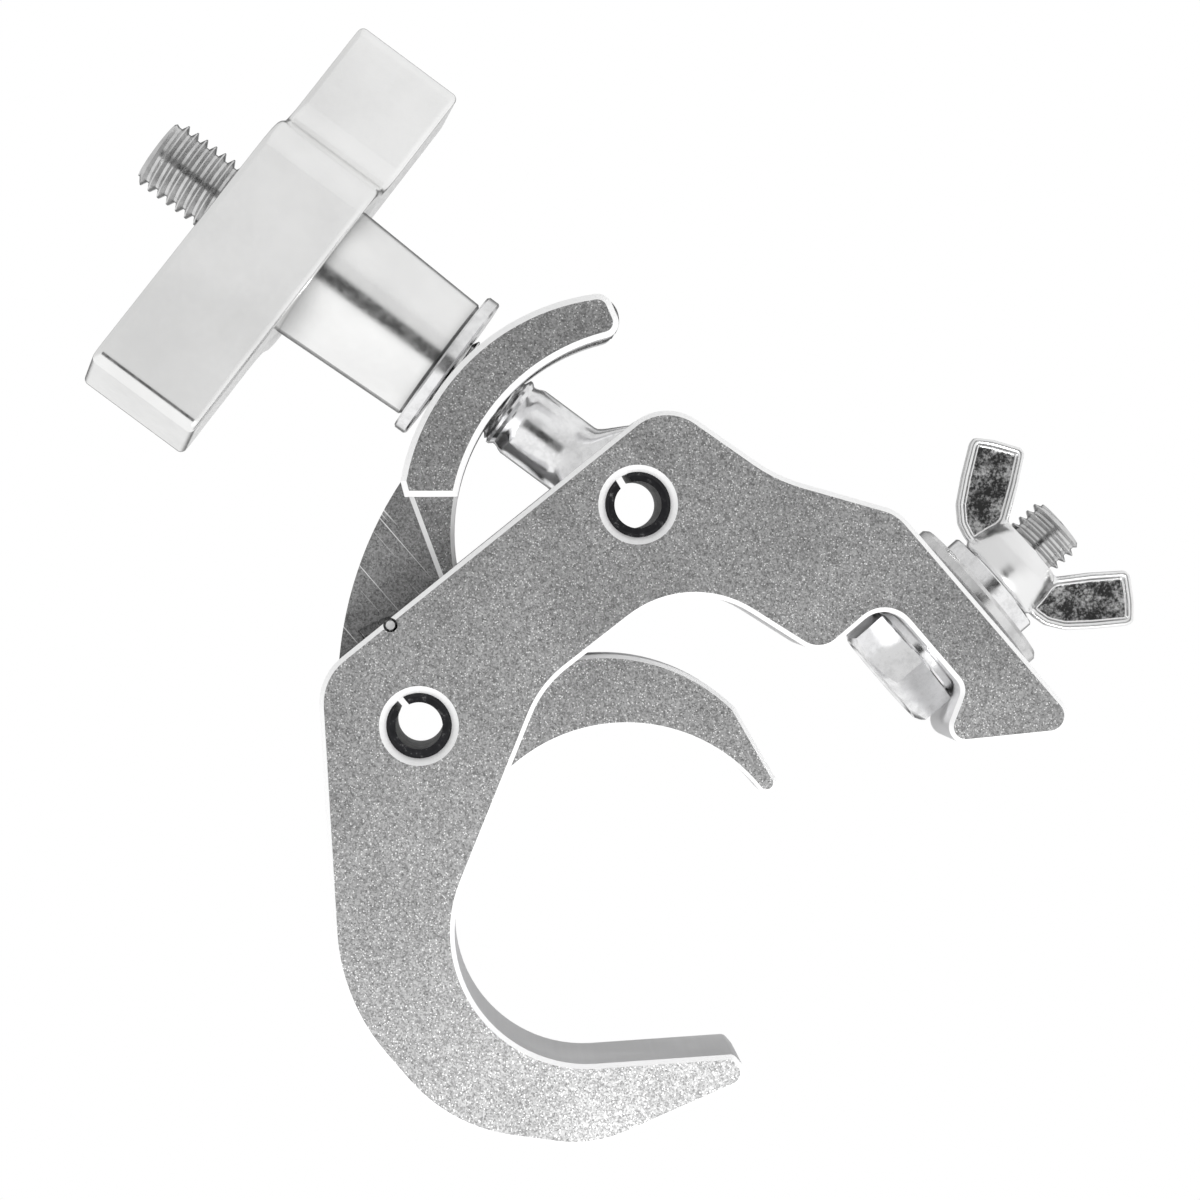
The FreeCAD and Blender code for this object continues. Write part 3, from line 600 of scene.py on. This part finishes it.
HUB_PROFILE = ((0.0004, 0.00502), (0.0, 0.0053), (0.0, 0.0066), (0.00035, 0.00712),
               (0.0014, 0.0073), (0.0032, 0.0072), (0.0050, 0.0069), (0.0065, 0.0064),
               (0.0076, 0.0057), (0.0076, 0.0053), (0.0072, 0.00502))
WING_OUTLINE = ((0.0056, 0.0011), (0.0080, 0.0009), (0.0104, 0.0015), (0.0129, 0.0033),
                (0.0157, 0.0068), (0.0188, 0.0112), (0.0190, 0.0122), (0.0167, 0.0143),
                (0.0131, 0.0166), (0.0121, 0.0165), (0.0088, 0.0122), (0.0060, 0.0080),
                (0.0056, 0.0074))
WING_HALF_THICKNESS = 0.0018
WING_RIM = 0.00085
WEB_SLOPE = 0.00035
WEB_DEPTH = 0.00075
CAST_VOXEL = 0.00022
WEB_EDGE_LOW = WING_HALF_THICKNESS - 0.00045
WEB_EDGE_HIGH = WING_HALF_THICKNESS - 0.0002


def turned_ring(shape, profile):
    """A closed ring turned about X from (along, radius) points."""
    rings = [[shape.verts.new(point) for point in circle_section(*corner)] for corner in profile]
    for number, near in enumerate(rings):
        far = rings[(number + 1) % len(rings)]
        for index in range(AROUND):
            after = (index + 1) % AROUND
            shape.faces.new((near[index], near[after], far[after], far[index]))


def add_wing(shape, side):
    """One wing, flat in the XZ plane, with its webs sunk into both faces."""
    faces = []
    for depth in (-WING_HALF_THICKNESS, WING_HALF_THICKNESS):
        points = [(along, depth, side * radius) for radius, along in WING_OUTLINE]
        faces.append(shape.faces.new([shape.verts.new(point) for point in points]))
    near, far = faces[0].verts[:], faces[1].verts[:]
    for index in range(len(near)):
        after = (index + 1) % len(near)
        shape.faces.new((near[index], near[after], far[after], far[index]))
    bmesh.ops.recalc_face_normals(shape, faces=shape.faces)
    bmesh.ops.inset_individual(shape, faces=faces, thickness=WING_RIM)
    bmesh.ops.inset_individual(shape, faces=faces, thickness=WEB_SLOPE, depth=-WEB_DEPTH)


def cast_plate():
    """Plated cast iron: mottled dark where the surface faces across the webs, bright on rims."""
    material, tree, shader, where = new_material("cast_plate")
    shader.inputs["Metallic"].default_value = 1.0
    facing = placed(tree, FACING)
    grain = noise(tree, where, 2400.0, 4.0, 0.75)
    cloud = noise(tree, where, 330.0, 3.0, 0.6)
    mottle = math_node(tree, "ADD", math_node(tree, "MULTIPLY", grain, 0.6),
                       math_node(tree, "MULTIPLY", cloud, 0.4))
    web = mix_colour(tree, map_range(tree, mottle, 0.44, 0.64), (0.035, 0.035, 0.035, 1.0),
                     (0.52, 0.52, 0.52, 1.0))
    split = tree.nodes.new("ShaderNodeSeparateXYZ")
    tree.links.new(where, split.inputs[0])
    depth = math_node(tree, "ABSOLUTE", split.outputs["Y"])
    sunk = map_range(tree, depth, WEB_EDGE_LOW, WEB_EDGE_HIGH, 1.0, 0.0)
    in_web = math_node(tree, "MULTIPLY", sunk, facing.outputs["Flat"])
    colour = mix_colour(tree, in_web, (0.88, 0.88, 0.88, 1.0), web)
    tree.links.new(colour, shader.inputs["Base Color"])
    rough = map_range(tree, in_web, 0.0, 1.0, 0.24, 0.32)
    tree.links.new(rough, shader.inputs["Roughness"])
    rough_height = math_node(tree, "MULTIPLY", mottle, in_web)
    bump(tree, shader, rough_height, 0.45, 0.00030)
    return material


CAST = cast_plate()
shape = bmesh.new()
turned_ring(shape, HUB_PROFILE)
wing_nut = mesh_piece("cast_wing_nut", shape, CAST)
for side in (-1, 1):
    shape = bmesh.new()
    add_wing(shape, side)
    wing = mesh_piece("wing", shape, CAST)
    join = wing_nut.modifiers.new("wing", "BOOLEAN")
    join.operation = "UNION"
    join.object = wing
    with_modifiers_applied(wing_nut)
    bpy.data.objects.remove(wing)
skin = wing_nut.modifiers.new("skin", "REMESH")
skin.mode = "VOXEL"
skin.voxel_size = CAST_VOXEL
skin.use_smooth_shade = True
soften = wing_nut.modifiers.new("soften", "SMOOTH")
soften.factor = 0.5
soften.iterations = 14
with_modifiers_applied(wing_nut)
nut_seat = Vector((bolt_seat.x, 0.0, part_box("wing_nut")[1][2]))
wing_nut.data.transform(axis_frame(nut_seat, Vector((0.0, 0.0, -1.0))))
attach(wing_nut, "nut")
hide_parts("wing_nut")

# ---------------------------------------------------------------- trigger spring
# One turn of hard-drawn wire about the lever's pin. Its fixed leg hooks into a notch on the edge
# of the front cheek, and the other pushes the lever towards the washer.

dress("trigger_spring", satin_plate("spring_wire", (0.80, 0.80, 0.80, 1.0), 0.38))

# ---------------------------------------------------------------- floor, light and camera
# A pale floor below the hanging clamp, a white studio around it, and a long lens square to the
# clamp's flat side, rolled so that the T-handle points up and to the left.

FLOOR_DROP = 0.16
FLOOR_RADIUS = 0.34
ROOM_GREY = (0.75, 0.75, 0.75, 1.0)
ROOM_WHITE = (1.0, 1.0, 1.0, 1.0)
BLACK_CARD = (0.03, 0.03, 0.03, 1.0)
low_corner, high_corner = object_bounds()
floor_centre = (low_corner + high_corner) / 2
floor_mesh = bpy.data.meshes.new("floor")
shape = bmesh.new()
bmesh.ops.create_circle(shape, cap_ends=True, segments=96, radius=FLOOR_RADIUS)
shape.to_mesh(floor_mesh)
shape.free()
floor = bpy.data.objects.new("floor", floor_mesh)
bpy.context.scene.collection.objects.link(floor)
floor.location = (floor_centre.x, floor_centre.y, low_corner.z - FLOOR_DROP)
floor_material, _, floor_shader, _ = new_material("floor_white")
floor_shader.inputs["Base Color"].default_value = (0.9, 0.9, 0.9, 1.0)
floor_shader.inputs["Roughness"].default_value = 0.8
floor_mesh.materials.append(floor_material)


def along_axis(tree, direction, axis):
    """How far a world direction lies along an axis."""
    node = tree.nodes.new("ShaderNodeVectorMath")
    node.operation = "DOT_PRODUCT"
    tree.links.new(direction, node.inputs[0])
    node.inputs[1].default_value = axis
    return node.outputs["Value"]


def patch(tree, direction, facing, across, half_across, up, half_up, softness):
    """A soft-edged rectangle among the world directions, one inside it and zero outside."""
    mask = map_range(tree, along_axis(tree, direction, facing), 0.2, 0.3)
    for axis, half in ((across, half_across), (up, half_up)):
        distance = math_node(tree, "ABSOLUTE", along_axis(tree, direction, axis))
        inside = map_range(tree, distance, half, half + softness, 1.0, 0.0)
        mask = math_node(tree, "MULTIPLY", mask, inside)
    return mask


# A dark gap in front and a ring of dark cards behind give the metal something to reflect.
world = bpy.data.worlds.new("studio")
bpy.context.scene.world = world
world.use_nodes = True
sky = world.node_tree
background = sky.nodes["Background"]
direction = sky.nodes.new("ShaderNodeTexCoord").outputs["Generated"]
toward_hook = map_range(sky, along_axis(sky, direction, (-0.757, 0.0, 0.653)), -0.30, 0.35)
room = mix_colour(sky, toward_hook, ROOM_GREY, ROOM_WHITE)
front_gap = patch(sky, direction, (0.02, -1.0, -0.08), (0.976, 0.0, 0.218), 0.13,
                  (-0.218, 0.0, 0.976), 0.17, 0.10)
behind = along_axis(sky, direction, (0.0, 1.0, 0.0))
inside_ring = map_range(sky, behind, 0.975, 0.995)
flags = math_node(sky, "SUBTRACT", map_range(sky, behind, 0.80, 0.92), inside_ring)
dark = math_node(sky, "MAXIMUM", front_gap, math_node(sky, "MULTIPLY", flags, 0.85))
room = mix_colour(sky, dark, room, BLACK_CARD)
camera_ray = sky.nodes.new("ShaderNodeLightPath").outputs["Is Camera Ray"]
seen = mix_colour(sky, camera_ray, room, ROOM_WHITE)
sky.links.new(seen, background.inputs["Color"])
background.inputs["Strength"].default_value = 1.0


# A small soft box near the hook, whose flat side is the brightest part of the clamp.
LIGHT_PLACE = Vector((-0.12, -0.25, 0.065))
LIGHT_TARGET = Vector((-0.06, 0.0, 0.04))
soft_box = bpy.data.lights.new("hook_side", "AREA")
soft_box.shape = "SQUARE"
soft_box.size = 0.12
soft_box.energy = 0.44
hook_side = bpy.data.objects.new("hook_side", soft_box)
bpy.context.scene.collection.objects.link(hook_side)
hook_side.location = LIGHT_PLACE
light_aim = LIGHT_TARGET - LIGHT_PLACE
hook_side.rotation_euler = light_aim.to_track_quat("-Z", "Y").to_euler()

VIEW_DISTANCE = 0.716
VIEW_UP = Vector((0.757, 0.0, -0.6534))
camera_data = bpy.data.cameras.new("camera")
camera_data.lens = 137.8
camera_data.sensor_width = 36.0
camera_data.clip_start = 0.01
camera = bpy.data.objects.new("camera", camera_data)
bpy.context.scene.collection.objects.link(camera)
camera_place = Vector((0.05855, -VIEW_DISTANCE, -0.01907))
aim_point = Vector((0.03704, 0.0, -0.02684))
back = (camera_place - aim_point).normalized()
right = VIEW_UP.cross(back).normalized()
up = back.cross(right)
facing_clamp = Matrix((right, up, back)).transposed().to_4x4()
camera.matrix_world = Matrix.Translation(camera_place) @ facing_clamp
bpy.context.scene.camera = camera
bpy.context.scene.view_settings.view_transform = "Standard"
